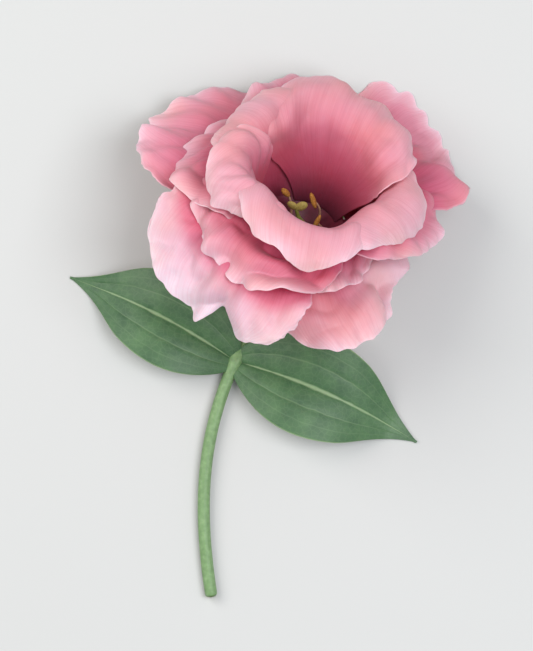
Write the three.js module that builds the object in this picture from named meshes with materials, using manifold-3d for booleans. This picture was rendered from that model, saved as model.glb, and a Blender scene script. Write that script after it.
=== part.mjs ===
// A picked lisianthus flower lying on a surface: one double bloom on its stem, with a pair of leaves.
// Millimetres, +Z up. The surface is z = 0 and the origin is under the middle of the whole flower.
// The bloom leans back over the end of its stem and rests on the edges of its low petals.

import * as THREE from "three";
import { mergeVertices } from "three/addons/utils/BufferGeometryUtils.js";
import Module from "manifold-3d";

const wasm = await Module();
wasm.setup();

const GAP = 0.32;

// Where the bloom sits and how it leans: its axis rises TILT degrees above the surface.
const RECEPTACLE = new THREE.Vector3(7.21, 20.72, 12.4);
const TILT = 50;
const TURN = -17;

// Petal blades. A profile gives the angle from the bloom's axis, in degrees, along the petal's length.
const PETAL_THICK = 0.6;
const CLAW_START = 0.17;
const SHOULDER = 0.42;
const CUP = [[0, 50], [0.12, 45], [0.25, 34], [0.4, 18], [0.6, 12], [0.7, 40], [0.82, 100], [1, 165]];
const MID = [[0, 50], [0.12, 46], [0.25, 36], [0.4, 24], [0.52, 38], [0.66, 82], [0.84, 110], [1, 140]];
const OUT = [[0, 50], [0.12, 46], [0.25, 38], [0.36, 46], [0.52, 84], [0.8, 110], [1, 128]];
const WHORLS = {
  back: { profile: CUP, offset: -1.6, lap: 0 },
  cup: { profile: CUP, offset: 0, lap: 1.5 },
  mid: { profile: MID, offset: 1.5, lap: 1.5 },
  out: { profile: OUT, offset: 3.0, lap: 1.6 },
};
const ROOT_RADIUS = 3.2;
const TUBE_LENGTH = 9.5;
const TUBE_WALL = 1.3;

// Stem: a pedicel curves down from the bloom to the node, and the stem runs from there to its cut end.
const PEDICEL_TOP = -2.05;
const beside = (x, y, z) => new THREE.Vector3(RECEPTACLE.x + x, RECEPTACLE.y + y, z);
const NODE = beside(-14.5, -27, 1.81);
const NODE_HEADING = new THREE.Vector3(-0.42, -0.91, 0).normalize();
const CUT_END = beside(-20, -82, 1.38);
const CUT_HEADING = new THREE.Vector3(0.16, -0.99, 0).normalize();
const PEDICEL_RADIUS = 0.95;
const STEM_RADIUS = 1.45;
const NODE_RADIUS = 1.9;

// Leaves: heading on the surface in degrees from +X, length, half width, sideways bend, edge phase
const LEAF_THICK = 0.7;
const LEAVES = {
  leaf_left: { heading: 146, length: 46, half: 10.5, bend: 14, phase: 0.4 },
  leaf_right: { heading: -16, length: 49, half: 11.5, bend: -16, phase: 2.2 },
};

// Calyx and the parts in the throat, measured along the bloom's axis from the receptacle.
const SEPALS = 5;
const SEPAL_LENGTH = 19.2;
const SEPAL_HALF = 1.35;
const CUP_DEPTH = 3;
const STAMENS = 5;
const STAMEN_RING = 3.4;
const ANTHER_HEIGHT = 10.6;
const ANTHER_RADIUS = 5.6;
const STYLE_TOP = 11.4;
// They lean together towards the low side of the bloom.
const HEAD_LEAN = new THREE.Vector3(-2.4, -1, 0);

// whorl, turn round the axis, length, width, lift, lean, fold, curl, edge wave, waves, phase
const PETALS = [
  ["back", 72, 43, 60, -7, 11, 4, 22, 1.2, 2.6, 0.6],
  ["cup", 144, 42, 56, -4, -8, 0, 8, 0.8, 2.0, 2.4],
  ["cup", 213, 43, 46, 4, 0, 0, 0, 1.0, 2.6, 4.0],
  ["cup", 264, 42, 54, 0, 0, 0, 6, 1.4, 2.8, 5.2],
  ["cup", 334, 41, 54, -6, 0, 0, 10, 1.4, 2.6, 1.2],
  ["mid", 108, 42, 50, -14, 0, 0, 10, 1.8, 2.6, 0.9],
  ["mid", 176, 43, 54, 0, -3, 6, 0, 1.8, 2.4, 3.0],
  ["mid", 232, 43, 58, 10, 0, 0, 0, 1.6, 2.6, 1.9],
  ["mid", 288, 30, 48, -8, 0, 0, 0, 1.4, 3.0, 0.2],
  ["mid", 352, 43, 54, 8, 0, 0, 0, 2.6, 2.8, 4.4],
  ["out", 118, 40, 50, 24, 0, 0, 0, 1.7, 2.6, 1.4],
  ["out", 151, 53, 56, -14, -6, 0, 0, 2.8, 2.6, 2.9],
  ["out", 234, 53, 62, 18, 12, 18, 0, 3.0, 2.8, 3.6],
  ["out", 300, 39, 62, 16, 0, -8, 0, 2.8, 2.8, 0.8],
  ["out", 86, 41, 50, 26, 0, 0, 0, 1.8, 3.2, 5],
  ["out", 50, 55, 58, -7, 0, 0, 0, 2.2, 2.6, 2.2],
];

const radians = THREE.MathUtils.degToRad;
const smooth = (a, b, x) => THREE.MathUtils.smoothstep(x, a, b);

function along(stations, x) {
  for (let i = 1; i < stations.length; i += 1) {
    const [x0, y0] = stations[i - 1];
    const [x1, y1] = stations[i];
    if (x <= x1) {
      const share = 0.5 * smooth(x0, x1, x) + (0.5 * (x - x0)) / (x1 - x0);
      return y0 + (y1 - y0) * share;
    }
  }
  return stations[stations.length - 1][1];
}

function wobble(x, phase) {
  const slow = Math.sin(x + phase);
  const mid = 0.5 * Math.sin(1.9 * x + 2.3 * phase);
  return (slow + mid + 0.3 * Math.sin(3.3 * x + 4.1 * phase)) / 1.4;
}

// From the bloom's own frame, with its axis up, to where it leans on the surface.
function placeBloom(point) {
  const t = radians(TILT);
  const y = point.y * Math.sin(t) + point.z * Math.cos(t);
  const z = -point.y * Math.cos(t) + point.z * Math.sin(t);
  const turned = new THREE.Vector3(point.x, y, z).applyAxisAngle(new THREE.Vector3(0, 0, 1), radians(TURN));
  return turned.add(RECEPTACLE);
}

// A soft floor: what would sink below the surface bends to lie on it.
function settle(point, floor, reach) {
  if (point.z < reach) {
    point.z = floor + (reach - floor) * Math.exp((point.z - reach) / (reach - floor));
  }
  return point;
}

function petalPoint(petal, u, v) {
  const [whorl, turn, length, width, lift, lean, fold, curl, wave, waves, phase] = petal;
  const { profile, offset, lap } = WHORLS[whorl];
  let c = u;
  let f = CLAW_START + (SHOULDER - CLAW_START) * Math.min(1, v / SHOULDER);
  let edge = Math.abs(u);
  let around = u > 0 ? -2 * (SHOULDER - v) : Math.PI + 2 * (SHOULDER - v);
  if (v > SHOULDER) {
    const w = (v - SHOULDER) / (1 - SHOULDER);
    c = u * Math.sqrt(1 - (w * w) / 2);
    const y = w * Math.sqrt(1 - (u * u) / 2);
    edge = Math.hypot(c, y);
    around = Math.atan2(y, c);
    const grow = 1 + 0.05 * edge * wobble(2.6 * around, 2.7 * phase);
    c *= grow;
    f = SHOULDER + (1 - SHOULDER) * y * grow;
  }
  const swing = lift + lean * c + fold * Math.cos(Math.PI * c);
  const steps = 30;
  let r = ROOT_RADIUS;
  let h = 0;
  let a = 0;
  for (let i = 0; i <= steps; i += 1) {
    const g = i < steps ? (f * (i + 0.5)) / steps : f;
    a = radians(along(profile, g) + swing * smooth(0.4, 0.95, g) + curl * smooth(0.5, 0.8, g));
    if (i < steps) {
      r += ((length * f) / steps) * Math.sin(a);
      h += ((length * f) / steps) * Math.cos(a);
    }
  }
  const across = ((c * width) / 2) * (0.13 + 0.87 * smooth(0, 0.9, f));
  const th = radians(turn + 10 * f) + across / Math.max(r, 5.5);
  const opened = smooth(0.15, 0.72, f);
  r *= 1 + opened * (0.07 * Math.cos(2 * (th - radians(100))) + 0.06 * Math.cos(4 * (th - radians(15))));
  let d = offset * smooth(0.05, 0.35, f) + lap * c * smooth(0.05, 0.5, f);
  d += 2.6 * smooth(0.35, 1, c) * smooth(0.5, 0.95, f);
  d += 3.2 * smooth(0.3, 1, -c) * smooth(0.55, 0.85, f);
  d += wave * smooth(0.45, 1, edge) * smooth(0.3, 0.7, f) * wobble(waves * around, phase);
  r += d * Math.cos(a);
  h -= d * Math.sin(a);
  return settle(placeBloom(new THREE.Vector3(r * Math.cos(th), r * Math.sin(th), h)), 0.1, 1.2);
}

// A closed solid round a bent sheet: the sheet's points moved out along its normals to both sides.
function sheet(pointAt, us, vs, thicknessAt) {
  const at = (i, j) => j * us.length + i;
  const middle = vs.flatMap((v) => us.map((u) => pointAt(u, v)));
  const sides = [[], []];
  for (let j = 0; j < vs.length; j += 1) {
    for (let i = 0; i < us.length; i += 1) {
      const east = middle[at(Math.min(i + 1, us.length - 1), j)].clone();
      east.sub(middle[at(Math.max(i - 1, 0), j)]);
      const north = middle[at(i, Math.min(j + 1, vs.length - 1))].clone();
      north.sub(middle[at(i, Math.max(j - 1, 0))]);
      const normal = east.cross(north).normalize();
      const half = thicknessAt(us[i], vs[j]) / 2;
      sides[0].push(middle[at(i, j)].clone().addScaledVector(normal, half));
      sides[1].push(middle[at(i, j)].clone().addScaledVector(normal, -half));
    }
  }
  const positions = [...sides[0], ...sides[1]].flatMap((p) => [p.x, p.y, p.z]);
  const back = middle.length;
  const triangles = [];
  for (let j = 0; j < vs.length - 1; j += 1) {
    for (let i = 0; i < us.length - 1; i += 1) {
      const [p, q, r, s] = [at(i, j), at(i + 1, j), at(i + 1, j + 1), at(i, j + 1)];
      triangles.push(p, q, r, p, r, s);
      triangles.push(back + p, back + r, back + q, back + p, back + s, back + r);
    }
  }
  const rim = [];
  for (let i = 0; i < us.length - 1; i += 1) rim.push(at(i, 0));
  for (let j = 0; j < vs.length - 1; j += 1) rim.push(at(us.length - 1, j));
  for (let i = us.length - 1; i > 0; i -= 1) rim.push(at(i, vs.length - 1));
  for (let j = vs.length - 1; j > 0; j -= 1) rim.push(at(0, j));
  rim.forEach((p, k) => {
    const q = rim[(k + 1) % rim.length];
    triangles.push(p, back + p, back + q, p, back + q, q);
  });
  return solid(positions, triangles);
}

function solid(positions, triangles) {
  const mesh = new wasm.Mesh({
    numProp: 3,
    vertProperties: new Float32Array(positions),
    triVerts: new Uint32Array(triangles),
  });
  return new wasm.Manifold(mesh);
}

function solidOf(geometry) {
  const bare = geometry.clone();
  bare.deleteAttribute("normal");
  bare.deleteAttribute("uv");
  const merged = mergeVertices(bare, 1e-4);
  return solid(merged.attributes.position.array, merged.index.array);
}

const join = (solids) => solids.reduce((whole, piece) => whole.add(piece));

// The largest connected body, without the sealed hollows and scraps that a cut can leave.
function largest(body) {
  return body.decompose().sort((p, q) => q.volume() - p.volume())[0];
}

const even = (n, from, to) => Array.from({ length: n + 1 }, (_, i) => from + ((to - from) * i) / n);

function petalSolid(petal) {
  const us = even(7, -1, 1);
  const vs = even(9, 0, 1).map((v) => 1 - (1 - v) ** 1.25);
  return sheet((u, v) => petalPoint(petal, u, v), us, vs, () => PETAL_THICK);
}

// A round piece on the bloom's axis, from an outline of radius and height that starts and ends on the axis.
function turned(outline, sides, bend = (point) => point) {
  const geometry = new THREE.LatheGeometry(outline.map(([r, h]) => new THREE.Vector2(r, h)), sides);
  geometry.rotateX(Math.PI / 2);
  return moved(geometry, bend);
}

function moved(geometry, bend = (point) => point) {
  const position = geometry.attributes.position;
  for (let i = 0; i < position.count; i += 1) {
    const p = placeBloom(bend(new THREE.Vector3().fromBufferAttribute(position, i)));
    position.setXYZ(i, p.x, p.y, p.z);
  }
  return solidOf(geometry);
}

// The middle of the fused tube's wall at a distance along it.
function tubeWall(s) {
  let r = ROOT_RADIUS;
  let h = 0;
  const steps = 20;
  for (let i = 0; i < steps; i += 1) {
    const a = radians(along(CUP, ((s / 46) * (i + 0.5)) / steps));
    r += (s / steps) * Math.sin(a);
    h += (s / steps) * Math.cos(a);
  }
  return [r, h];
}

function corollaTube() {
  const stations = even(6, 0, TUBE_LENGTH);
  const inside = stations.map((s) => {
    const [r, h] = tubeWall(s);
    return [r - 0.55, h];
  });
  const outside = stations.map((s) => {
    const [r, h] = tubeWall(s);
    return [r + TUBE_WALL, h];
  });
  const ring = [...outside, ...inside.reverse()];
  ring.push(ring[0]);
  return turned(ring, 24);
}

// A round or tapering tube along points, with flat ends, that keeps a flat side down.
function tube(points, radii, sides) {
  const positions = [];
  const triangles = [];
  const up = new THREE.Vector3(0, 0, 1);
  points.forEach((point, k) => {
    const before = points[Math.max(0, k - 1)];
    const after = points[Math.min(points.length - 1, k + 1)];
    const tangent = after.clone().sub(before).normalize();
    const side = tangent.clone().cross(up).normalize();
    const lift = side.clone().cross(tangent);
    for (let i = 0; i < sides; i += 1) {
      const angle = ((i + 0.5) / sides) * 2 * Math.PI - Math.PI / 2;
      const p = point.clone().addScaledVector(side, radii[k] * Math.cos(angle));
      p.addScaledVector(lift, radii[k] * Math.sin(angle));
      positions.push(p.x, p.y, p.z);
    }
  });
  const last = (points.length - 1) * sides;
  for (let k = 0; k < points.length - 1; k += 1) {
    for (let i = 0; i < sides; i += 1) {
      const p = k * sides + i;
      const q = k * sides + ((i + 1) % sides);
      triangles.push(p, q + sides, q, p, p + sides, q + sides);
    }
  }
  for (let i = 1; i < sides - 1; i += 1) {
    triangles.push(0, i, i + 1);
    triangles.push(last, last + i + 1, last + i);
  }
  return solid(positions, triangles);
}

const bloomAxis = placeBloom(new THREE.Vector3(0, 0, 1)).sub(RECEPTACLE);
const onAxis = (h) => RECEPTACLE.clone().addScaledVector(bloomAxis, h);

const pedicelCurve = new THREE.CubicBezierCurve3(
  onAxis(PEDICEL_TOP),
  onAxis(PEDICEL_TOP - 12),
  NODE.clone().addScaledVector(NODE_HEADING, -13),
  NODE,
);
const stemCurve = new THREE.CubicBezierCurve3(
  NODE,
  NODE.clone().addScaledVector(NODE_HEADING, 20),
  CUT_END.clone().addScaledVector(CUT_HEADING, -20),
  CUT_END,
);

function stemBody(extra) {
  const upper = even(12, 0, 1).map((t) => pedicelCurve.getPoint(t));
  const lower = even(14, 0, 1).map((t) => stemCurve.getPoint(t)).slice(1);
  const points = [...upper, ...lower];
  const node = upper.length - 1;
  const radii = points.map((point, k) => {
    const away = point.distanceTo(NODE);
    const plain = k < node ? PEDICEL_RADIUS : STEM_RADIUS;
    const flare = 0.75 * Math.exp(-points[0].distanceTo(point) / 1.6);
    return plain + (NODE_RADIUS - plain) * Math.exp(-((away / 2.6) ** 2)) + flare + extra;
  });
  return tube(points, radii, 10);
}

function leafSolid({ heading, length, half, bend, phase }) {
  const rise = [[0, 28], [0.2, 16], [0.42, -1], [0.72, -27], [1, -12]];
  function pointAt(u, v) {
    let x = 0;
    let y = 0;
    let z = NODE.z;
    const steps = 24;
    let plan = 0;
    for (let i = 0; i < steps; i += 1) {
      const g = (v * (i + 0.5)) / steps;
      const slope = radians(along(rise, g));
      plan = radians(heading + bend * g);
      x += ((length * v) / steps) * Math.cos(slope) * Math.cos(plan);
      y += ((length * v) / steps) * Math.cos(slope) * Math.sin(plan);
      z += ((length * v) / steps) * Math.sin(slope);
    }
    const blade = half * Math.sin(Math.PI * v ** 0.8) * (1 - 0.35 * smooth(0.6, 1, v));
    const wide = Math.max(0.3, blade + 2.4 * (1 - v) ** 3);
    const across = u * wide;
    const raised = 0.34 * Math.abs(across) * (1 - 0.45 * Math.abs(u)) * (1 - 0.7 * smooth(0.3, 0.8, v));
    const wave = 0.7 * u * u * Math.sin(9 * v + phase + (u > 0 ? 1.3 : 0)) * smooth(0.1, 0.4, v);
    const side = new THREE.Vector3(-Math.sin(plan), Math.cos(plan), 0);
    const point = new THREE.Vector3(NODE.x + x, NODE.y + y, z + raised + wave);
    return settle(point.addScaledVector(side, across), 0.1, 1.2);
  }
  const us = [-1, -0.7, -0.4, -0.1, 0, 0.1, 0.4, 0.7, 1];
  const ridge = (u) => LEAF_THICK + 0.45 * Math.exp(-((u / 0.08) ** 2));
  return sheet(pointAt, us, even(16, 0, 1), (u, v) => ridge(u) * (1 - 0.5 * v));
}

function calyxBody() {
  const stations = even(3, 0, CUP_DEPTH);
  const lining = stations.map((s) => {
    const [r, h] = tubeWall(s);
    return [r + TUBE_WALL + GAP, h];
  });
  const shell = lining.map(([r, h]) => [r + 0.7, h - 0.2]);
  const cup = turned([
    [0, -1.7],
    [1.8, -1.7],
    [3.9, -1.3],
    ...shell,
    ...lining.reverse(),
    [lining[lining.length - 1][0], -GAP],
    [0, -GAP],
  ], 20);
  const bend = [[0, 56], [0.2, 62], [0.5, 74], [0.75, 90], [1, 112]];
  const sepals = even(SEPALS - 1, 0, SEPALS - 1).map((k) => {
    function pointAt(u, v) {
      let [r, h] = tubeWall(1);
      r += TUBE_WALL + GAP + 0.4;
      const steps = 16;
      for (let i = 0; i < steps; i += 1) {
        const a = radians(along(bend, (v * (i + 0.5)) / steps));
        r += ((SEPAL_LENGTH * v) / steps) * Math.sin(a);
        h += ((SEPAL_LENGTH * v) / steps) * Math.cos(a);
      }
      const wide = SEPAL_HALF * (1 - v) ** 0.7 + 0.18;
      const th = radians((360 / SEPALS) * k + 50 + 9 * Math.sin(2.4 * k) * v);
      const x = r * Math.cos(th) - u * wide * Math.sin(th);
      const y = r * Math.sin(th) + u * wide * Math.cos(th);
      return settle(placeBloom(new THREE.Vector3(x, y, h)), 0.5, 2);
    }
    return sheet(pointAt, [-1, 0, 1], even(9, 0, 1), (u, v) => (u === 0 ? 0.8 : 0.45) * (1 - 0.45 * v));
  });
  return join([cup, ...sepals]);
}

// A small rounded body with its long way along a direction.
function bead(centre, direction, long, wide, flat) {
  const geometry = new THREE.SphereGeometry(1, 8, 6);
  geometry.scale(wide, long, flat);
  const turn = new THREE.Quaternion().setFromUnitVectors(new THREE.Vector3(0, 1, 0), direction.clone().normalize());
  geometry.applyQuaternion(turn);
  geometry.translate(centre.x, centre.y, centre.z);
  return moved(geometry);
}

function stamenBody() {
  const inner = tubeWall(4.1)[0] - 0.55 - GAP;
  const ring = turned([
    [inner, STAMEN_RING],
    [inner - 0.45, STAMEN_RING + 0.45],
    [inner - 0.9, STAMEN_RING],
    [inner - 0.45, STAMEN_RING - 0.45],
    [inner, STAMEN_RING],
  ], 20);
  const pieces = [ring];
  for (let k = 0; k < STAMENS; k += 1) {
    const th = radians((360 / STAMENS) * k + 56);
    const out = new THREE.Vector3(Math.cos(th), Math.sin(th), 0);
    const foot = out.clone().multiplyScalar(inner - 0.45).setZ(STAMEN_RING);
    const knee = out.clone().multiplyScalar(inner + 0.7).setZ(8);
    const tip = out.clone().multiplyScalar(ANTHER_RADIUS).setZ(ANTHER_HEIGHT + 0.7 * Math.sin(3 * k));
    tip.add(HEAD_LEAN);
    const path = new THREE.QuadraticBezierCurve3(foot, knee, tip);
    const points = even(5, 0, 1).map((t) => placeBloom(path.getPoint(t)));
    pieces.push(tube(points, points.map(() => 0.38), 6));
    pieces.push(bead(tip, new THREE.Vector3(-out.y, out.x, 1.1), 1.9, 0.75, 0.75));
  }
  return join(pieces);
}

// The ovary stands straight and the style above it bends over.
function styleLean(point) {
  return point.addScaledVector(HEAD_LEAN, smooth(4.5, STYLE_TOP, point.z));
}

function pistilBody() {
  const ovary = turned([
    [0, 0],
    [1.5, 0],
    [2.1, 1.4],
    [2.2, 3],
    [1.8, 4.9],
    [0.9, 6.9],
    [0.5, 8.4],
    [0.45, 10],
    [0.45, STYLE_TOP],
    [0, STYLE_TOP],
  ], 12, styleLean);
  const lobes = [1, -1].map((side) => {
    const centre = new THREE.Vector3(0.95 * side, 0.3 * side, STYLE_TOP + 0.5).add(HEAD_LEAN);
    return bead(centre, new THREE.Vector3(side, 0.3 * side, 0.9), 1.6, 1.15, 0.6);
  });
  return join([ovary, ...lobes]);
}

// The surface cuts flat what lies on it.
function lieFlat(body) {
  const below = new THREE.BoxGeometry(400, 400, 10);
  below.translate(0, 0, -5);
  return body.subtract(solidOf(below));
}

const flower = new THREE.Group();

function addNode(name, body, color, roughness) {
  const { vertProperties, triVerts } = body.getMesh();
  const geometry = new THREE.BufferGeometry();
  geometry.setAttribute("position", new THREE.BufferAttribute(vertProperties, 3));
  geometry.setIndex(new THREE.BufferAttribute(triVerts, 1));
  geometry.computeVertexNormals();
  const mesh = new THREE.Mesh(geometry, new THREE.MeshStandardMaterial({ color, roughness, metalness: 0 }));
  mesh.name = name;
  flower.add(mesh);
}

const corolla = largest(lieFlat(join([corollaTube(), ...PETALS.map(petalSolid)])));
addNode("corolla", corolla, "#f29bae", 0.55);
addNode("calyx", largest(lieFlat(calyxBody())), "#7d9a54", 0.6);
addNode("stamens", largest(stamenBody()), "#bc8630", 0.7);
addNode("pistil", largest(pistilBody()), "#b9c56a", 0.55);
addNode("stem", largest(stemBody(0)), "#6f8f5e", 0.55);
const seat = stemBody(GAP);
for (const [name, leaf] of Object.entries(LEAVES)) {
  addNode(name, largest(lieFlat(leafSolid(leaf)).subtract(seat)), "#55784f", 0.55);
}

export default flower;
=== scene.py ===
"""A picked double lisianthus lying on a pale surface, seen from above."""

import math

import bmesh
import bpy
from mathutils import Matrix, Vector, noise


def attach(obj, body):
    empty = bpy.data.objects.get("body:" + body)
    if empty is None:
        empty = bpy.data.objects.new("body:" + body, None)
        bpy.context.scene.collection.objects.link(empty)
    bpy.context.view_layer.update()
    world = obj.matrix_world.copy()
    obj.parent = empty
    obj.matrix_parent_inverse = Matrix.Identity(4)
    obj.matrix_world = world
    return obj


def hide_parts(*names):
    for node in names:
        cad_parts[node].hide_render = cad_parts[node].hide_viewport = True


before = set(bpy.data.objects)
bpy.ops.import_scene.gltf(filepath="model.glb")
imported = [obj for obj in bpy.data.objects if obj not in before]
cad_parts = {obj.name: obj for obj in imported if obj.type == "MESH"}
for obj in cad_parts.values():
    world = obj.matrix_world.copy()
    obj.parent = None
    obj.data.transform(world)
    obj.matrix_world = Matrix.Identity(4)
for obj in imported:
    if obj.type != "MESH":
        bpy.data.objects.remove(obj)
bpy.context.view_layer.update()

MM = 0.001
UP = Vector((0, 0, 1))

# Lengths are in millimetres and angles in degrees, apart from the studio's.

# Where the bloom sits and how it leans
RECEPTACLE = Vector((7.21, 20.72, 12.4))
TILT = 50
TURN = -17

# Petals. The claw is a blade's narrow foot: the share of the length where it starts, its share of the
# blade's width, and the least radius that it wraps round. The blade is round beyond its shoulder.
PETAL_THICK = 0.3
PETAL_GRID = ((52, 60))
ROOT_RADIUS = 3.2
CLAW_START = 0.17
CLAW_WIDTH = 0.13
CLAW_RADIUS = 5.5
SHOULDER = 0.42
TWIST = 10

# The tube takes its form from the foot of a cup petal this long
TUBE_PETAL = 46
TUBE_LENGTH = 9.5
TUBE_WALL = 1.3
TUBE_LINING = 0.55

# Seen along its axis, the bloom is a little oval and a little square: share, turns, direction in degrees
OVAL = (0.07, 2, 100)
SQUARE = (0.06, 4, 15)

# How far each kind of unevenness moves the blade
RIGHT_LIFT = 2.6
LEFT_LIFT = 3.2
FOLDS = 1.8
PLEATS = 1.1
CREASES = 2.2
RIM_WAVES = 1.8
RIM_RIPPLES = 0.9
CRIMPS = 0.5

# Margins: shares of the blade's reach
LOBING = 0.05
BITES = 0.03
OUTER_TEETH = 0.03
INNER_TEETH = 0.014
CLEFT_WIDTH = 0.13

# Profiles: the angle from the bloom's axis at each share of the petal's length
CUP = [(0, 50), (0.12, 45), (0.25, 34), (0.4, 18), (0.6, 12), (0.7, 40), (0.82, 100), (1, 165)]
MID = [(0, 50), (0.12, 46), (0.25, 36), (0.4, 24), (0.52, 38), (0.66, 82), (0.84, 110), (1, 140)]
OUT = [(0, 50), (0.12, 46), (0.25, 38), (0.36, 46), (0.52, 84), (0.8, 110), (1, 128)]

# Each turn's profile, how far outside the tube it runs, and how far a blade's sides lap over and under
WHORLS = {"back": (CUP, -1.6, 0), "cup": (CUP, 0, 1.5), "mid": (MID, 1.5, 1.5), "out": (OUT, 3.0, 1.6)}

# whorl, place round the axis, length, width, lift, lean, fold, curl, edge wave, waves, phase
PETALS = [
    ("back", 72, 43, 60, -7, 11, 4, 22, 1.2, 2.6, 0.6),
    ("cup", 144, 42, 56, -4, -8, 0, 8, 0.8, 2.0, 2.4),
    ("cup", 213, 43, 46, 4, 0, 0, 0, 1.0, 2.6, 4.0),
    ("cup", 264, 42, 54, 0, 0, 0, 6, 1.4, 2.8, 5.2),
    ("cup", 334, 41, 54, -6, 0, 0, 10, 1.4, 2.6, 1.2),
    ("mid", 108, 42, 50, -14, 0, 0, 10, 1.8, 2.6, 0.9),
    ("mid", 176, 43, 54, 0, -3, 6, 0, 1.8, 2.4, 3.0),
    ("mid", 232, 43, 58, 10, 0, 0, 0, 1.6, 2.6, 1.9),
    ("mid", 288, 30, 48, -8, 0, 0, 0, 1.4, 3.0, 0.2),
    ("mid", 352, 43, 54, 8, 0, 0, 0, 2.6, 2.8, 4.4),
    ("out", 118, 40, 50, 24, 0, 0, 0, 1.7, 2.6, 1.4),
    ("out", 151, 53, 56, -14, -6, 0, 0, 2.8, 2.6, 2.9),
    ("out", 234, 53, 62, 18, 12, 18, 0, 3.0, 2.8, 3.6),
    ("out", 300, 39, 62, 16, 0, -8, 0, 2.8, 2.8, 0.8),
    ("out", 86, 41, 50, 26, 0, 0, 0, 1.8, 3.2, 5),
    ("out", 50, 55, 58, -7, 0, 0, 0, 2.2, 2.6, 2.2),
]

# What single petals have of their own, by their place round the axis

# Where a margin has a cleft: the angle round the blade and the depth. A depth below zero makes a point.
CLEFTS = {
    234: (1.34, 0.24), 264: (1.75, 0.08), 300: (1.1, 0.09),
    50: (0.7, 0.1), 151: (1.7, -0.08), 144: (0.6, 0.02), 213: (2.45, -0.1),
}

# Where one end of a blade curls up into a lobe, and by how many millimetres
LOBES = {300: 4.0}

# Blades that have been crushed more than the rest, and how much more
CRUSHED = {232: 2.6, 176: 1.2, 213: 4.5, 234: 1.6, 300: 1.6, 50: 1.5}

# Stem: a pedicel curves down from the bloom to the node, and the stem runs on to its cut end.
PEDICEL_TOP = -1.9
NODE = RECEPTACLE + Vector((-14.5, -27, 1.81 - RECEPTACLE.z))
NODE_HEADING = Vector((-0.42, -0.91, 0)).normalized()
CUT_END = RECEPTACLE + Vector((-20, -82, 1.38 - RECEPTACLE.z))
CUT_HEADING = Vector((0.16, -0.99, 0)).normalized()
PEDICEL_RADIUS = 0.95
STEM_RADIUS = 1.45
NODE_RADIUS = 1.9
NODE_LENGTH = 2.6
FLARE = 0.75
FLARE_LENGTH = 1.6
PEDICEL_STEPS = 40
STEM_STEPS = 50

# Leaves: the slope at each share of the length, and how the blade bends across
LEAF_THICK = 0.5
LEAF_GRID = ((44, 90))
LEAF_SLOPE = [(0, 28), (0.2, 16), (0.42, -1), (0.72, -27), (1, -12)]
LEAF_STEPS = 24
LEAF_FOOT = 2.4
LEAF_TROUGH = 0.34
LEAF_WAVE = 0.7

# heading from +X, length, half width, sideways bend, edge phase
LEAVES = {
    "leaf_left": (146, 46, 10.5, 14, 0.4),
    "leaf_right": (-16, 49, 11.5, -16, 2.2),
}

# Calyx, stamens and pistil, measured along the bloom's axis from the receptacle.
SEPALS = 5
SEPAL_LENGTH = 19.2
SEPAL_HALF = 1.35
SEPAL_THICK = 0.4
SEPAL_SLOPE = [(0, 56), (0.2, 62), (0.5, 74), (0.75, 90), (1, 112)]
CUP_DEPTH = 3
CUP_WALL = 0.75
CUP_FOOT = [(0, -1.9), (1.75, -1.9), (3.9, -1.35)]
STAMENS = 5
STAMEN_RING = 3.4
FILAMENT_STEPS = 10
FILAMENT_RADIUS = 0.34
ANTHER_HEIGHT = 10.6
ANTHER_RADIUS = 5.6
ANTHER_SIZE = (0.72, 0.8, 1.95)
ANTHER_GROOVE = 0.3
STYLE_TOP = 11.4
PISTIL_OUTLINE = [
    (0, -0.1), (1.5, -0.1), (2.05, 1.1), (2.2, 2.8), (1.9, 4.6), (1.3, 6.1),
    (0.8, 7.2), (0.52, 8.3), (0.44, 10), (0.5, STYLE_TOP), (0, STYLE_TOP),
]
STIGMA_SIZE = (1.1, 0.65, 1.6)
# Stamens and style lean together towards the low side of the bloom
HEAD_LEAN = Vector((-2.4, -1.0, 0))

# How near the surface the middle of a thin part may come, and the height where it starts to bend
PETAL_REST = (0.28, 1.2)
LEAF_REST = (0.3, 1.2)
SEPAL_REST = (0.5, 2)

# Studio: each lamp's place in metres, power in watts, size and colour
LAMPS = {
    "key": ((-0.42, 0.2, 0.5), 3.2, 0.5, "#FFFDF8"),
    "fill": ((0.3, -0.06, 0.68), 4.4, 0.45, "#FAFBFF"),
}
LAMP_AIM = Vector((0, 0.01, 0.02))
SKY_STRENGTH = 0.52
CAMERA_ELEVATION = 86
CAMERA_DISTANCE = 0.62
CAMERA_LENS = 150
CAMERA_AIM = Vector((0, 0.001, 0.018))


# Shape helpers

def smooth(low, high, x):
    """An eased step from 0 to 1."""
    t = min(1, max(0, (x - low) / (high - low)))
    return t * t * (3 - 2 * t)


def along(stations, x):
    """Read a profile of (place, value) pairs, half eased and half straight between its stations."""
    for (x0, y0), (x1, y1) in zip(stations, stations[1:]):
        if x <= x1:
            share = 0.5 * smooth(x0, x1, x) + 0.5 * (x - x0) / (x1 - x0)
            return y0 + (y1 - y0) * share
    return stations[-1][1]


def wobble(x, phase):
    """A wave that never repeats evenly, between about -1 and 1."""
    slow = math.sin(x + phase)
    middle = 0.5 * math.sin(1.9 * x + 2.3 * phase)
    return (slow + middle + 0.3 * math.sin(3.3 * x + 4.1 * phase)) / 1.4


def place_bloom(point):
    """From the bloom's own frame, with its axis up, to where it leans on the surface."""
    t = math.radians(TILT)
    y = point.y * math.sin(t) + point.z * math.cos(t)
    z = -point.y * math.cos(t) + point.z * math.sin(t)
    return Matrix.Rotation(math.radians(TURN), 3, "Z") @ Vector((point.x, y, z)) + RECEPTACLE


AXIS = place_bloom(UP) - RECEPTACLE


def settle(point, floor, reach):
    """What would sink below the surface bends to lie on it."""
    if point.z < reach:
        point.z = floor + (reach - floor) * math.exp((point.z - reach) / (reach - floor))
    return point


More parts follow.
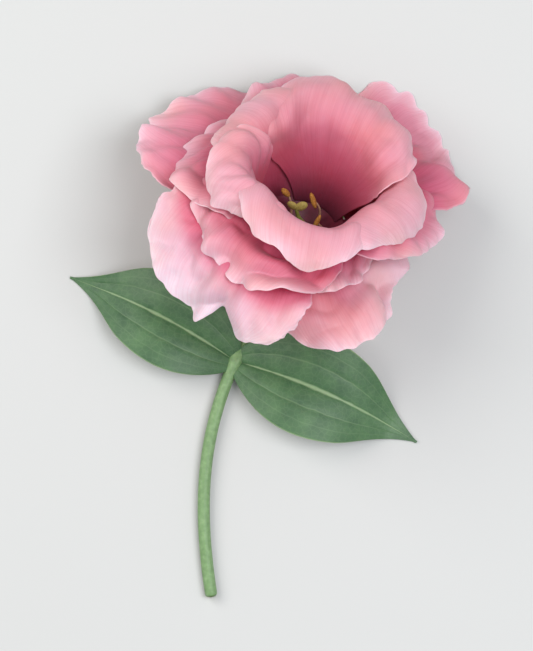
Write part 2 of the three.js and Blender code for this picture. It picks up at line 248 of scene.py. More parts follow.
def walk(profile, length, share, start, steps=30, swing=0, curl=0):
    """Follow a bending profile and return radius, height and the angle reached.

    Swing bends the upper part of the blade further out, and curl rolls its end.
    """
    def angle(g):
        return math.radians(along(profile, g) + swing * smooth(0.4, 0.95, g) + curl * smooth(0.5, 0.8, g))
    r, h = start
    step = length * share / steps
    for i in range(steps):
        a = angle(share * (i + 0.5) / steps)
        r += step * math.sin(a)
        h += step * math.cos(a)
    return r, h, angle(share)


def bezier(points, t):
    a, b, c, d = points
    s = 1 - t
    return a * s ** 3 + b * 3 * s * s * t + c * 3 * s * t * t + d * t ** 3


# Materials

# A Mix node that mixes colours has them on inputs 6 and 7 and its result on output 2
MIX_A = 6
MIX_B = 7
MIXED = 2

# Cells of the green parts: light goes deepest in green
GREEN_CELLS = {"IOR": 1.42, "Subsurface Radius": (0.4, 1, 0.2)}


def linear(colour):
    """From an sRGB hex colour to the linear values that sockets take."""
    def channel(byte):
        c = byte / 255
        return c / 12.92 if c <= 0.04045 else ((c + 0.055) / 1.055) ** 2.4
    return (*(channel(int(colour[i:i + 2], 16)) for i in (1, 3, 5)), 1)


def add(tree, kind, settings=None, values=None, links=None, stops=None):
    """Add one shader node with its settings, its input values, its links and its ramp stops."""
    made = tree.nodes.new("ShaderNode" + kind)
    for name, value in (settings or {}).items():
        setattr(made, name, value)
    for name, value in (values or {}).items():
        made.inputs[name].default_value = value
    for name, socket in (links or {}).items():
        tree.links.new(socket, made.inputs[name])
    if stops:
        ramp = made.color_ramp.elements
        ramp[0].position = stops[0][0]
        ramp[1].position = stops[-1][0]
        ramp[0].color = linear(stops[0][1])
        ramp[1].color = linear(stops[-1][1])
        for position, colour in stops[1:-1]:
            ramp.new(position).color = linear(colour)
    return made


def blank(name):
    material = bpy.data.materials.new(name)
    material.use_nodes = True
    tree = material.node_tree
    tree.nodes.clear()
    return material, tree


def from_midline(tree, uv_parts):
    """How far a point lies from a blade's middle line, 0 there and 1 at the margin."""
    side = add(tree, "Math", {"operation": "MULTIPLY_ADD"}, {1: 2, 2: -1}, {0: uv_parts.outputs["X"]})
    return add(tree, "Math", {"operation": "ABSOLUTE"}, links={0: side.outputs[0]})


def petal_tissue(name, colours, streak, lobe_highlight=0):
    """Living petal: thin, watery cells in long files, so it glows through and shows fine radial streaks."""
    material, tree = blank(name)
    uv = add(tree, "UVMap")
    parts = add(tree, "SeparateXYZ", links={0: uv.outputs[0]})
    tint = add(tree, "ValToRGB", links={0: parts.outputs["Y"]}, stops=colours)
    # Cell files about 0.5 mm apart on a blade 50 mm wide
    files = add(tree, "Mapping", values={"Scale": (130, 2.6, 1)}, links={0: uv.outputs[0]})
    grain = add(tree, "TexNoise", values={"Scale": 1, "Detail": 3, "Distortion": 0.4},
                links={"Vector": files.outputs[0]})
    veil = add(tree, "ValToRGB", links={0: grain.outputs[0]}, stops=[(0.34, streak), (0.62, "#FFFFFF")])
    streaked = add(tree, "Mix", {"data_type": "RGBA", "blend_type": "MULTIPLY"}, {0: 0.3},
                   {MIX_A: tint.outputs[0], MIX_B: veil.outputs[0]})
    if lobe_highlight:
        # Painted highlight: the curled end of the blade is painted paler, for the light that it catches
        end = add(tree, "MapRange", {"interpolation_type": "SMOOTHSTEP"},
                  {"From Min": 0.44, "From Max": 0.7, "To Min": 0, "To Max": lobe_highlight},
                  {"Value": parts.outputs["X"]})
        streaked = add(tree, "Mix", {"data_type": "RGBA"}, {MIX_B: linear("#F3D6E0")},
                       {0: end.outputs[0], MIX_A: streaked.outputs[MIXED]})
    # Broad patches, about 14 mm, where the pink turns towards salmon
    place = add(tree, "TexCoord")
    patch = add(tree, "TexNoise", values={"Scale": 72, "Detail": 1},
                links={"Vector": place.outputs["Object"]})
    where = add(tree, "MapRange", values={"From Min": 0.42, "From Max": 0.7, "To Min": 0, "To Max": 0.4},
                links={"Value": patch.outputs[0]})
    warm = add(tree, "Mix", {"data_type": "RGBA", "blend_type": "MULTIPLY"},
               {MIX_B: linear("#FFE0C8")}, {0: where.outputs[0], MIX_A: streaked.outputs[MIXED]})
    # The margin is a paler line about half a millimetre wide
    off = from_midline(tree, parts)
    brink = add(tree, "Math", {"operation": "MAXIMUM"}, links={0: off.outputs[0], 1: parts.outputs["Y"]})
    rim = add(tree, "MapRange", values={"From Min": 0.965, "From Max": 1, "To Min": 0, "To Max": 0.45},
              links={"Value": brink.outputs[0]})
    spread = add(tree, "MapRange", values={"From Min": 0.45, "From Max": 0.7, "To Min": 0, "To Max": 1},
                 links={"Value": parts.outputs["Y"]})
    paler = add(tree, "Math", {"operation": "MULTIPLY"}, links={0: rim.outputs[0], 1: spread.outputs[0]})
    edged = add(tree, "Mix", {"data_type": "RGBA"}, {MIX_B: linear("#F8DCE6")},
                {0: paler.outputs[0], MIX_A: warm.outputs[MIXED]})
    # Crinkle: cell files, and soft creases about 3 mm apart
    creases = add(tree, "Mapping", values={"Scale": (15, 3, 1)}, links={0: uv.outputs[0]})
    crease = add(tree, "TexNoise", values={"Scale": 1, "Detail": 2, "Distortion": 0.8},
                 links={"Vector": creases.outputs[0]})
    relief = add(tree, "Math", {"operation": "MULTIPLY_ADD"}, {1: 1.5},
                 {0: crease.outputs[0], 2: grain.outputs[0]})
    bump = add(tree, "Bump", values={"Strength": 0.5, "Distance": 0.00014},
               links={"Height": relief.outputs[0]})
    skin = add(tree, "BsdfPrincipled", {"subsurface_method": "RANDOM_WALK"}, {
        "Roughness": 0.48,
        "IOR": 1.4,
        "Specular IOR Level": 0.4,
        "Subsurface Weight": 0.22,
        "Subsurface Radius": (1, 0.35, 0.4),
        "Subsurface Scale": 0.0014,
        "Sheen Weight": 0.12,
        "Sheen Roughness": 0.5,
    }, {"Base Color": edged.outputs[MIXED], "Normal": bump.outputs[0]})
    glow = add(tree, "BsdfTranslucent", links={"Color": edged.outputs[MIXED], "Normal": bump.outputs[0]})
    both = add(tree, "MixShader", values={0: 0.32}, links={1: skin.outputs[0], 2: glow.outputs[0]})
    add(tree, "OutputMaterial", links={"Surface": both.outputs[0]})
    return material


def green_tissue(name, colours, size, roughness, relief=0.00005):
    """Waxy green skin: a thin grey bloom over cell colour, brighter where it catches light."""
    material, tree = blank(name)
    place = add(tree, "TexCoord")
    mottle = add(tree, "TexNoise", values={"Scale": 1 / (size * MM), "Detail": 5, "Roughness": 0.6},
                 links={"Vector": place.outputs["Object"]})
    tint = add(tree, "ValToRGB", links={0: mottle.outputs[0]}, stops=colours)
    bump = add(tree, "Bump", values={"Strength": 0.4, "Distance": relief},
               links={"Height": mottle.outputs[0]})
    skin = add(tree, "BsdfPrincipled", values={
        **GREEN_CELLS,
        "Roughness": roughness,
        "Subsurface Weight": 0.12,
        "Subsurface Scale": 0.0008,
    }, links={"Base Color": tint.outputs[0], "Normal": bump.outputs[0]})
    add(tree, "OutputMaterial", links={"Surface": skin.outputs[0]})
    return material


def leaf_tissue(name, blade, vein, shade):
    """Glaucous leaf: a waxy grey-green blade with pale nerves that run lengthwise and a thin pale margin."""
    material, tree = blank(name)
    uv = add(tree, "UVMap")
    parts = add(tree, "SeparateXYZ", links={0: uv.outputs[0]})
    out = from_midline(tree, parts)
    place = add(tree, "TexCoord")
    drift = add(tree, "TexNoise", values={"Scale": 260, "Detail": 2},
                links={"Vector": place.outputs["Object"]})
    strayed = add(tree, "Math", {"operation": "MULTIPLY_ADD"}, {1: 0.07},
                  {0: drift.outputs[0], 2: out.outputs[0]})
    # Nerves: the midrib, two long pairs beside it, and the margin
    nerves = add(tree, "ValToRGB", links={0: strayed.outputs[0]}, stops=[
        (0.055, "#E0E0E0"), (0.085, "#000000"), (0.43, "#000000"), (0.455, "#8C8C8C"), (0.48, "#000000"),
        (0.73, "#000000"), (0.75, "#707070"), (0.77, "#000000"), (1, "#000000"),
    ])
    brink = add(tree, "MapRange", values={"From Min": 0.965, "From Max": 0.99, "To Min": 0, "To Max": 0.9},
                links={"Value": out.outputs[0]})
    # Fine net of cross veins, cells about 1.3 mm
    net = add(tree, "TexVoronoi", {"feature": "DISTANCE_TO_EDGE"}, {"Scale": 760},
              {"Vector": place.outputs["Object"]})
    mesh_line = add(tree, "MapRange", values={"From Min": 0, "From Max": 0.1, "To Min": 0.09, "To Max": 0},
                    links={"Value": net.outputs[0]})
    inner = add(tree, "Math", {"operation": "MAXIMUM"}, links={0: nerves.outputs[0], 1: mesh_line.outputs[0]})
    lines = add(tree, "Math", {"operation": "MAXIMUM"}, links={0: inner.outputs[0], 1: brink.outputs[0]})
    mottle = add(tree, "TexNoise", values={"Scale": 190, "Detail": 5, "Roughness": 0.62},
                 links={"Vector": place.outputs["Object"]})
    base = add(tree, "ValToRGB", links={0: mottle.outputs[0]}, stops=[(0.3, shade), (0.7, blade)])
    tint = add(tree, "Mix", {"data_type": "RGBA"}, {MIX_B: linear(vein)},
               {0: lines.outputs[0], MIX_A: base.outputs[0]})
    relief = add(tree, "Math", {"operation": "MULTIPLY_ADD"}, {1: -1.0},
                 {0: lines.outputs[0], 2: mottle.outputs[0]})
    bump = add(tree, "Bump", values={"Strength": 0.6, "Distance": 0.00012},
               links={"Height": relief.outputs[0]})
    skin = add(tree, "BsdfPrincipled", values={
        **GREEN_CELLS,
        "Roughness": 0.46,
        "Subsurface Weight": 0.1,
        "Subsurface Scale": 0.0008,
    }, links={"Base Color": tint.outputs[MIXED], "Normal": bump.outputs[0]})
    glow = add(tree, "BsdfTranslucent", values={"Color": linear("#7FA345")},
               links={"Normal": bump.outputs[0]})
    both = add(tree, "MixShader", values={0: 0.1}, links={1: skin.outputs[0], 2: glow.outputs[0]})
    add(tree, "OutputMaterial", links={"Surface": both.outputs[0]})
    return material


def stem_tissue(name):
    """Smooth herbaceous stem: fine lengthwise ridges under the same waxy bloom as the leaves."""
    material, tree = blank(name)
    uv = add(tree, "UVMap")
    # Ridges about 0.6 mm apart round a stem 9 mm round
    ridges = add(tree, "Mapping", values={"Scale": (16, 2, 1)}, links={0: uv.outputs[0]})
    ridge = add(tree, "TexNoise", values={"Scale": 1, "Detail": 2}, links={"Vector": ridges.outputs[0]})
    place = add(tree, "TexCoord")
    mottle = add(tree, "TexNoise", values={"Scale": 900, "Detail": 4},
                 links={"Vector": place.outputs["Object"]})
    both = add(tree, "Math", {"operation": "MULTIPLY_ADD"}, {1: 0.35},
               {0: ridge.outputs[0], 2: mottle.outputs[0]})
    tint = add(tree, "ValToRGB", links={0: both.outputs[0]}, stops=[
        (0.45, "#658457"), (0.7, "#729162"), (0.95, "#82A072"),
    ])
    bump = add(tree, "Bump", values={"Strength": 0.5, "Distance": 0.0001}, links={"Height": ridge.outputs[0]})
    skin = add(tree, "BsdfPrincipled", values={
        **GREEN_CELLS,
        "Roughness": 0.48,
        "Subsurface Weight": 0.15,
        "Subsurface Scale": 0.001,
    }, links={"Base Color": tint.outputs[0], "Normal": bump.outputs[0]})
    add(tree, "OutputMaterial", links={"Surface": skin.outputs[0]})
    return material


CUP_COLOURS = [
    (0.0, "#642036"), (0.16, "#96374F"), (0.3, "#BA4C66"), (0.42, "#CA5F79"),
    (0.52, "#DB7F95"), (0.6, "#E697A9"), (0.68, "#EAA6B5"), (0.86, "#F0BCC9"), (1.0, "#F6DAE4"),
]
CUP_INSIDE = petal_tissue("inner petal, upper skin", CUP_COLOURS, "#EBC6D0")
# The rosy outer petal has a painted highlight on its curled end
ROSY_INSIDE = petal_tissue("rosy outer petal, upper skin", CUP_COLOURS, "#EBC6D0", 0.75)
# Middle petals: the deep pink low and midway up the blade is partly their own colour and partly painted
# shade, for the creases where they pass under their neighbours
MIDDLE_INSIDE = petal_tissue("middle petal, upper skin", [
    (0.0, "#8C2A48"), (0.28, "#C24A6B"), (0.54, "#CE5076"), (0.68, "#D96F8B"),
    (0.78, "#E594A9"), (0.88, "#EEB6C5"), (1.0, "#F5D8E3"),
], "#E8BFCB")
# Outer petals: the deeper pink towards the foot is partly their own colour and partly painted shade, for the
# crevices between the whorls
OUTER_INSIDE = petal_tissue("outer petal, upper skin", [
    (0.0, "#8C2A48"), (0.28, "#C64E6E"), (0.48, "#D6668A"), (0.62, "#E0839C"),
    (0.78, "#E8A0B3"), (0.9, "#EEBBC9"), (1.0, "#F5D9E4"),
], "#EBC6D0")
# Pale outer petals: the deep pink band below the pale part is painted shade, for the crease where a middle
# petal's margin lies over the blade
PALE_INSIDE = petal_tissue("pale outer petal, upper skin", [
    (0.0, "#8C2A48"), (0.3, "#CC5577"), (0.54, "#D4587C"), (0.63, "#E28AA3"),
    (0.71, "#EABECD"), (0.86, "#ECD4E0"), (1.0, "#F1E4ED"),
], "#EFD0D9")
INSIDES = {"back": CUP_INSIDE, "cup": CUP_INSIDE, "mid": MIDDLE_INSIDE, "out": OUTER_INSIDE}
OWN_INSIDES = {234: PALE_INSIDE, 118: PALE_INSIDE, 300: ROSY_INSIDE}
PETAL_OUTSIDE = petal_tissue("petal, under skin", [
    (0.0, "#C9C58C"), (0.14, "#DCA09A"), (0.34, "#E08EA2"), (0.6, "#E9A2B5"),
    (0.85, "#F0B8C7"), (1.0, "#F6D6E0"),
], "#EDC8D2")
TUBE_SKIN = green_tissue("tube, outer skin", [(0.3, "#B0AC70"), (0.7, "#C4BC86")], 3, 0.5)
THROAT_SKIN = green_tissue("tube, throat skin", [(0.3, "#5A182A"), (0.7, "#74243A")], 2, 0.45)
SEPAL_SKIN = green_tissue("sepal skin", [(0.3, "#5E7C34"), (0.55, "#7C9A48"), (0.8, "#97AE62")], 2.5, 0.5)
LEAF_UPPER = leaf_tissue("leaf, upper skin", "#53774F", "#93AC82", "#3A5C3E")
LEAF_UNDER = leaf_tissue("leaf, under skin", "#8AA283", "#B3C4A4", "#728F6E")
STEM_SKIN = stem_tissue("stem skin")
CUT_PITH = green_tissue("cut pith", [(0.3, "#C9CF9C"), (0.7, "#E6E6C4")], 0.6, 0.6)
CUT_RING = green_tissue("cut stem ring", [(0.3, "#8CA35E"), (0.7, "#A8B77A")], 0.6, 0.55)
# Painted shade: the anthers get a darker ochre-brown than their own yellow, for the shade deep in the throat
SHADE_PAINTED_ANTHER_SKIN = green_tissue("anther with pollen, painted darker for shade", [
    (0.3, "#7E5020"), (0.55, "#AC752F"), (0.8, "#C8964E"),
], 0.35, 0.85, 0.00015)
FILAMENT_SKIN = green_tissue("filament skin", [(0.3, "#B98A72"), (0.7, "#D0AE8C")], 1.2, 0.5)
PISTIL_SKIN = green_tissue("pistil skin", [(0.3, "#76803A"), (0.7, "#98A052")], 1.5, 0.45)
STIGMA_SKIN = green_tissue("stigma skin", [(0.3, "#8A7A3A"), (0.7, "#AE9C55")], 0.4, 0.7, 0.00012)


# Pieces

def put(name, data):
    """Bring an object into the scene."""
    made = bpy.data.objects.new(name, data)
    bpy.context.scene.collection.objects.link(made)
    return made


def finish_piece(name, bm, node, materials, thickness=0, levels=1, back=0):
    """Turn a bmesh into a piece that rides on the flower and stands for its CAD node."""
    mesh = bpy.data.meshes.new(name)
    bm.to_mesh(mesh)
    bm.free()
    for polygon in mesh.polygons:
        polygon.use_smooth = True
    piece = put(name, mesh)
    for material in materials:
        mesh.materials.append(material)
    if thickness:
        shell = piece.modifiers.new("thickness", "SOLIDIFY")
        shell.thickness = thickness * MM
        shell.offset = 0
        shell.material_offset = back
        shell.material_offset_rim = back
    if levels:
        soft = piece.modifiers.new("smooth", "SUBSURF")
        soft.levels = levels
        soft.render_levels = levels
    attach(piece, "root")
    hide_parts(node)
    return piece


def mapped_grid(columns, rows):
    """A flat grid two units wide, with a UV map that runs from 0 to 1 both ways."""
    bm = bmesh.new()
    bmesh.ops.create_grid(bm, x_segments=columns, y_segments=rows, size=1)
    layer = bm.loops.layers.uv.new("UVMap")
    for face in bm.faces:
        for loop in face.loops:
            loop[layer].uv = ((loop.vert.co.x + 1) / 2, (loop.vert.co.y + 1) / 2)
    return bm


def sheet(name, point_at, columns, rows, node, slot, materials, thickness, back=0):
    """A bent sheet: a flat grid whose points are moved to where a formula puts them."""
    bm = mapped_grid(columns, rows)
    for vert in bm.verts:
        vert.co = point_at(vert.co.x, (vert.co.y + 1) / 2) * MM
    return finish_piece(name, bm, node, materials, thickness, 1, back)


def roll(name, centres, radii, sides, node, material):
    """A tube along points: a flat grid rolled round them, its seam joined and its ends closed."""
    rows = len(centres) - 1
    bm = mapped_grid(sides, rows)
    for vert in bm.verts:
        k = round((vert.co.y + 1) / 2 * rows)
        angle = vert.co.x * math.pi
        tangent = (centres[min(rows, k + 1)] - centres[max(0, k - 1)]).normalized()
        side = tangent.cross(UP).normalized()
        lift = side.cross(tangent)
        ring = side * math.sin(angle) + lift * math.cos(angle)
        vert.co = (centres[k] + ring * radii[k]) * MM
    bmesh.ops.remove_doubles(bm, verts=bm.verts, dist=0.002 * MM)
    bmesh.ops.holes_fill(bm, edges=bm.edges, sides=sides)
    bmesh.ops.recalc_face_normals(bm, faces=bm.faces)
    return finish_piece(name, bm, node, [material])


def turned(name, outline, sides, node, materials, bend=None):
    """A round piece on the bloom's axis, spun from an outline of radius and height."""
    bm = bmesh.new()
    verts = [bm.verts.new((r, 0, h)) for r, h in outline]
    edges = [bm.edges.new(pair) for pair in zip(verts, verts[1:])]
    bmesh.ops.spin(bm, geom=verts + edges, cent=(0, 0, 0), axis=(0, 0, 1), angle=2 * math.pi,
                   steps=sides, use_merge=True)
    bmesh.ops.remove_doubles(bm, verts=bm.verts, dist=0.001)
    bmesh.ops.recalc_face_normals(bm, faces=bm.faces)
    for vert in bm.verts:
        vert.co = place_bloom(bend(vert.co) if bend else vert.co) * MM
    return finish_piece(name, bm, node, materials)


def bead(name, centre, direction, size, node, material, groove=0):
    """A rounded body with its long way along a direction, and a groove down its sides where asked."""
    bm = bmesh.new()
    bmesh.ops.create_uvsphere(bm, u_segments=20, v_segments=14, radius=1)
    for vert in bm.verts:
        around = math.atan2(vert.co.y, vert.co.x)
        pinch = 1 - groove * math.cos(around) ** 8
        vert.co.x *= pinch * size[0]
        vert.co.y *= pinch * size[1]
        vert.co.z *= size[2]
    turn = UP.rotation_difference(direction).to_matrix()
    for vert in bm.verts:
        vert.co = place_bloom(turn @ vert.co + centre) * MM
    return finish_piece(name, bm, node, [material])


def margin(petal, edge, around):
    """How far the margin reaches at an angle round the blade: lobes, bites, teeth and a cleft."""
    whorl, turn, phase = petal[0], petal[1], petal[-1]
    grow = 1 + LOBING * edge * wobble(2.6 * around, 2.7 * phase)
    grow += BITES * edge ** 3 * noise.noise(Vector((9 * around, 7 * phase, 0)))
    teeth = OUTER_TEETH if whorl == "out" else INNER_TEETH
    grow += teeth * edge ** 8 * noise.noise(Vector((34 * around, 3 * phase, 4)))
    cleft, depth = CLEFTS.get(turn, (1.2 + 0.5 * math.sin(3 * phase), 0.05))
    return grow - depth * edge ** 4 * math.exp(-((around - cleft) / CLEFT_WIDTH) ** 2)


def crumple(petal, c, f, edge, around):
    """How far folds, creases and waves push the blade off its smooth form, in millimetres."""
    whorl, turn, phase = petal[0], petal[1], petal[-1]
    # The inner petals are fresher, and so smoother
    frill = 0.5 if whorl == "cup" else 1
    outer = smooth(0.35, 0.8, f)
    # Soft folds about 12 mm across, and pleats down the blade
    d = FOLDS * frill * outer * noise.noise(Vector((2.3 * c, 3.4 * f, 5 * phase)))
    d += PLEATS * frill * outer * noise.noise(Vector((6.5 * c, 2.2 * f, 3 * phase)))
    # Crisp creases where the soft blade has been crushed
    crush = 0.25 - abs(noise.noise(Vector((4.2 * c + 1.5 * f, 5 * f, 7 * phase))))
    d += CREASES * frill * frill * outer * crush * CRUSHED.get(turn, 1)
    # Waves and ripples of the rim
    rim = smooth(0.55, 1, edge) * smooth(0.42, 0.75, f)
    d += RIM_WAVES * frill * rim * noise.noise(Vector((4.2 * around, 1.5 * edge, 2 * phase)))
    d += RIM_RIPPLES * frill * rim * rim * noise.noise(Vector((11 * around, 2 * edge, 4 * phase)))
    # Crimps along the margin, in patches
    patches = smooth(-0.2, 0.4, noise.noise(Vector((1.6 * around, 0, 9 * phase))))
    crimp = noise.noise(Vector((26 * around, 0, phase)))
    return d + CRIMPS * smooth(0.8, 1, edge) * smooth(0.5, 0.7, f) * crimp * patches


def petal_point(petal, u, v):
    """Where a petal's point lies, from -1 to 1 across the blade and 0 to 1 along it."""
    whorl, turn, length, width, lift, lean, fold, curl, wave, waves, phase = petal
    profile, offset, lap = WHORLS[whorl]
    # Rows come closer together towards the margin
    v = 1 - (1 - v) ** 1.25
    c = u
    f = CLAW_START + (SHOULDER - CLAW_START) * min(1, v / SHOULDER)
    edge = abs(u)
    around = -2 * (SHOULDER - v) if u > 0 else math.pi + 2 * (SHOULDER - v)
    # Beyond the shoulder the square grid is drawn in to a round blade
    if v > SHOULDER:
        w = (v - SHOULDER) / (1 - SHOULDER)
        c = u * math.sqrt(1 - w * w / 2)
        y = w * math.sqrt(1 - u * u / 2)
        edge = math.hypot(c, y)
        around = math.atan2(y, c)
        grow = margin(petal, edge, around)
        c *= grow
        f = SHOULDER + (1 - SHOULDER) * y * grow
    swing = lift + lean * c + fold * math.cos(math.pi * c)
    r, h, a = walk(profile, length, f, (ROOT_RADIUS, 0), 30, swing, curl)
    across = c * width / 2 * (CLAW_WIDTH + (1 - CLAW_WIDTH) * smooth(0, 0.9, f))
    th = math.radians(turn + TWIST * f) + across / max(r, CLAW_RADIUS)
    oval, square = (share * math.cos(turns * (th - math.radians(to))) for share, turns, to in (OVAL, SQUARE))
    r *= 1 + smooth(0.15, 0.72, f) * (oval + square)
    # Each blade lies over one neighbour and under the other, and its sides lift
    d = offset * smooth(0.05, 0.35, f) + lap * c * smooth(0.05, 0.5, f)
    d += RIGHT_LIFT * smooth(0.35, 1, c) * smooth(0.5, 0.95, f)
    d += LEFT_LIFT * smooth(0.3, 1, -c) * smooth(0.55, 0.85, f)
    d += wave * smooth(0.45, 1, edge) * smooth(0.3, 0.7, f) * wobble(waves * around, phase)
    d -= LOBES.get(turn, 0) * smooth(0.4, 0.75, c) * smooth(0.5, 0.8, f)
    d += crumple(petal, c, f, edge, around)
    r += d * math.cos(a)
    h -= d * math.sin(a)
    return settle(place_bloom(Vector((r * math.cos(th), r * math.sin(th), h))), *PETAL_REST)


def make_petals():
    for number, petal in enumerate(PETALS, 1):
        inside = OWN_INSIDES.get(petal[1], INSIDES[petal[0]])
        sheet(f"petal_{number:02d}", lambda u, v: petal_point(petal, u, v), *PETAL_GRID,
              "corolla", "petal", [PETAL_OUTSIDE, inside], PETAL_THICK, back=1)


def tube_wall(s):
    """Radius and height where the petals' claws run, this far along them."""
    r, h, a = walk(CUP, TUBE_PETAL, s / TUBE_PETAL, (ROOT_RADIUS, 0), 20)
    return r, h


def make_tube():
    shares = [k / 8 for k in range(9)]
    stations = [tube_wall(TUBE_LENGTH * share) for share in shares]
    # The wall thins where the petals part from it, so it ends in no step
    thinned = [TUBE_WALL * (1 - 0.75 * smooth(0.45, 1, share)) for share in shares]
    outside = [(r + wall, h) for (r, h), wall in zip(stations, thinned)]
    inside = [(r - TUBE_LINING, h) for r, h in reversed(stations)]
    outline = [*outside, *inside, outside[0]]
    tube = turned("corolla_tube", outline, 40, "corolla", [TUBE_SKIN, THROAT_SKIN])
    for polygon in tube.data.polygons:
        out = polygon.center / MM - RECEPTACLE
        out -= AXIS * out.dot(AXIS)
        polygon.material_index = 1 if polygon.normal.dot(out) < 0 else 0


def stem_path():
    """Middle line and radii: two curves that meet at the node, which is swollen."""
    upper = (
        RECEPTACLE + AXIS * PEDICEL_TOP,
        RECEPTACLE + AXIS * (PEDICEL_TOP - 12),
        NODE - NODE_HEADING * 13,
        NODE,
    )
    lower = (NODE, NODE + NODE_HEADING * 20, CUT_END - CUT_HEADING * 20, CUT_END)
    centres = [bezier(upper, k / PEDICEL_STEPS) for k in range(PEDICEL_STEPS + 1)]
    centres += [bezier(lower, k / STEM_STEPS) for k in range(1, STEM_STEPS + 1)]
    radii = []
    for k, point in enumerate(centres):
        plain = PEDICEL_RADIUS if k < PEDICEL_STEPS else STEM_RADIUS
        swell = math.exp(-((point - NODE).length / NODE_LENGTH) ** 2)
        flare = FLARE * math.exp(-(point - centres[0]).length / FLARE_LENGTH)
        radii.append(plain + (NODE_RADIUS - plain) * swell + flare)
    return centres, radii


def make_stem():
    centres, radii = stem_path()
    roll("stem_and_pedicel", centres, radii, 24, "stem", STEM_SKIN)
    # The cut face: a pale pith inside a green ring
    bm = bmesh.new()
    bmesh.ops.create_circle(bm, cap_ends=True, segments=32, radius=(STEM_RADIUS - 0.1) * MM)
    bmesh.ops.inset_region(bm, faces=bm.faces[:], thickness=0.32 * MM, depth=0)
    ring = [face for face in bm.faces if len(face.verts) == 4]
    for face in ring:
        face.material_index = 1
    turn = UP.rotation_difference(CUT_HEADING).to_matrix().to_4x4()
    place = Matrix.Translation((CUT_END + CUT_HEADING * 0.03) * MM)
    bmesh.ops.transform(bm, matrix=place @ turn, verts=bm.verts)
    finish_piece("cut_face", bm, "stem", [CUT_PITH, CUT_RING], levels=0)


def make_leaves():
    for name, (heading, length, half, bend, phase) in LEAVES.items():
        def leaf_point(u, v):
            # The midrib
            place = Vector((0, 0, NODE.z))
            plan = math.radians(heading)
            for i in range(LEAF_STEPS):
                g = v * (i + 0.5) / LEAF_STEPS
                slope = math.radians(along(LEAF_SLOPE, g))
                plan = math.radians(heading + bend * g)
                flat = Vector((math.cos(plan), math.sin(plan), 0)) * math.cos(slope)
                place += (flat + UP * math.sin(slope)) * (length * v / LEAF_STEPS)
            # The blade clasps the stem at its foot, lies in a trough, and its margin waves
            blade = half * math.sin(math.pi * v ** 0.8) * (1 - 0.35 * smooth(0.6, 1, v))
            wide = max(0.3, blade + LEAF_FOOT * (1 - v) ** 3)
            sideways = -u * wide
            raised = LEAF_TROUGH * abs(sideways) * (1 - 0.45 * abs(u)) * (1 - 0.7 * smooth(0.3, 0.8, v))
            wave = LEAF_WAVE * u * u * math.sin(9 * v + phase + (1.3 if u < 0 else 0)) * smooth(0.1, 0.4, v)
            # The midrib and the two long nerves lie in soft grooves
            groove = 0.35 * math.exp(-(u / 0.06) ** 2) * (1 - v)
            groove += 0.12 * math.exp(-((abs(u) - 0.42) / 0.05) ** 2)
            spot = Vector((NODE.x + place.x, NODE.y + place.y, place.z + raised + wave - groove))
            spot += Vector((-math.sin(plan), math.cos(plan), 0)) * sideways
            return settle(spot, *LEAF_REST)
        sheet(name + "_blade", leaf_point, *LEAF_GRID, name, "leaf_green",
              [LEAF_UPPER, LEAF_UNDER], LEAF_THICK, back=1)


def make_calyx():
    stations = [tube_wall(CUP_DEPTH * k / 4) for k in range(5)]
    lining = [(r + TUBE_WALL + 0.1, h) for r, h in stations]
    shell = [(r + CUP_WALL, h - 0.2) for r, h in lining]
    outline = [*CUP_FOOT, *shell, *reversed(lining), (lining[0][0], -0.1), (0, -0.1)]
    turned("calyx_cup", outline, 40, "calyx", [SEPAL_SKIN])
    start_r, start_h = tube_wall(1)
    for k in range(SEPALS):
        def sepal_point(u, v):
            r, h, a = walk(SEPAL_SLOPE, SEPAL_LENGTH, v, (start_r + TUBE_WALL + 0.7, start_h), 16)
            wide = SEPAL_HALF * (1 - v) ** 0.7 + 0.12
            th = math.radians(360 / SEPALS * k + 50 + 9 * math.sin(2.4 * k) * v)
            keel = 0.35 * (1 - abs(u)) * (1 - 0.6 * v)
            r += keel * math.cos(a)
            h -= keel * math.sin(a)
            x = r * math.cos(th) - u * wide * math.sin(th)
            y = r * math.sin(th) + u * wide * math.cos(th)
            return settle(place_bloom(Vector((x, y, h))), *SEPAL_REST)
        sheet(f"sepal_{k + 1}", sepal_point, 8, 30, "calyx", "sepal_green", [SEPAL_SKIN], SEPAL_THICK)


def make_stamens():
    inner = tube_wall(4.1)[0] - 0.6
    for k in range(STAMENS):
        th = math.radians(360 / STAMENS * k + 56)
        out = Vector((math.cos(th), math.sin(th), 0))
        foot = out * (inner - 0.3) + UP * STAMEN_RING
        knee = out * (inner + 0.7) + UP * 8
        tip = out * ANTHER_RADIUS + UP * (ANTHER_HEIGHT + 0.7 * math.sin(3 * k)) + HEAD_LEAN
        path = []
        radii = []
        for i in range(FILAMENT_STEPS + 1):
            t = i / FILAMENT_STEPS
            path.append(place_bloom(foot * (1 - t) ** 2 + knee * 2 * t * (1 - t) + tip * t * t))
            radii.append(FILAMENT_RADIUS - 0.12 * t)
        roll(f"filament_{k + 1}", path, radii, 10, "stamens", FILAMENT_SKIN)
        leaning = Vector((-out.y, out.x, 1.1)).normalized()
        bead(f"anther_{k + 1}", tip, leaning, ANTHER_SIZE, "stamens", SHADE_PAINTED_ANTHER_SKIN,
             ANTHER_GROOVE)


def style_lean(point):
    """The ovary stands straight and the style above it bends over."""
    return point + HEAD_LEAN * smooth(4.5, STYLE_TOP, point.z)


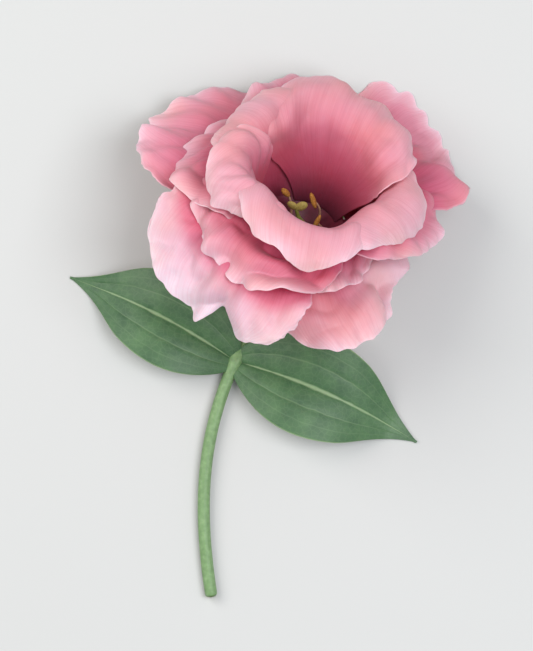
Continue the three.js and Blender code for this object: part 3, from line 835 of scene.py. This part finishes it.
def make_pistil():
    turned("ovary_and_style", PISTIL_OUTLINE, 28, "pistil", [PISTIL_SKIN], style_lean)
    for number, side in enumerate((1, -1), 1):
        centre = Vector((0.95 * side, 0.3 * side, STYLE_TOP + 0.5)) + HEAD_LEAN
        bead(f"stigma_lobe_{number}", centre, Vector((side, 0.3 * side, 0.9)).normalized(),
             STIGMA_SIZE, "pistil", STIGMA_SKIN)


# Stage

def make_stage():
    bm = bmesh.new()
    bmesh.ops.create_grid(bm, x_segments=1, y_segments=1, size=1.5)
    mesh = bpy.data.meshes.new("table")
    bm.to_mesh(mesh)
    bm.free()
    table = put("table", mesh)
    material, tree = blank("matt pale laminate")
    skin = add(tree, "BsdfPrincipled", values={"Base Color": linear("#BFC0BF"), "Roughness": 0.85})
    add(tree, "OutputMaterial", links={"Surface": skin.outputs[0]})
    mesh.materials.append(material)

    world = bpy.data.worlds.new("soft studio")
    bpy.context.scene.world = world
    world.use_nodes = True
    sky = world.node_tree.nodes["Background"]
    sky.inputs["Color"].default_value = linear("#F4F6F8")
    sky.inputs["Strength"].default_value = SKY_STRENGTH


def look_at(made, place, aim):
    """Put a lamp or a camera in its place and turn it to its aim."""
    made.location = place
    made.rotation_mode = "QUATERNION"
    made.rotation_quaternion = (aim - Vector(place)).to_track_quat("-Z", "Y")


def make_lamps():
    for name, (place, power, size, colour) in LAMPS.items():
        light = bpy.data.lights.new(name, "AREA")
        light.energy = power
        light.size = size
        light.color = linear(colour)[:3]
        look_at(put(name, light), place, LAMP_AIM)


def make_camera():
    data = bpy.data.cameras.new("camera")
    data.lens = CAMERA_LENS
    camera = put("camera", data)
    rise = math.radians(CAMERA_ELEVATION)
    back = Vector((0, -math.cos(rise), math.sin(rise)))
    look_at(camera, CAMERA_AIM + back * CAMERA_DISTANCE, CAMERA_AIM)
    bpy.context.scene.camera = camera


make_petals()
make_tube()
make_calyx()
make_stamens()
make_pistil()
make_stem()
make_leaves()
make_stage()
make_lamps()
make_camera()
bpy.context.scene.view_settings.view_transform = "Standard"
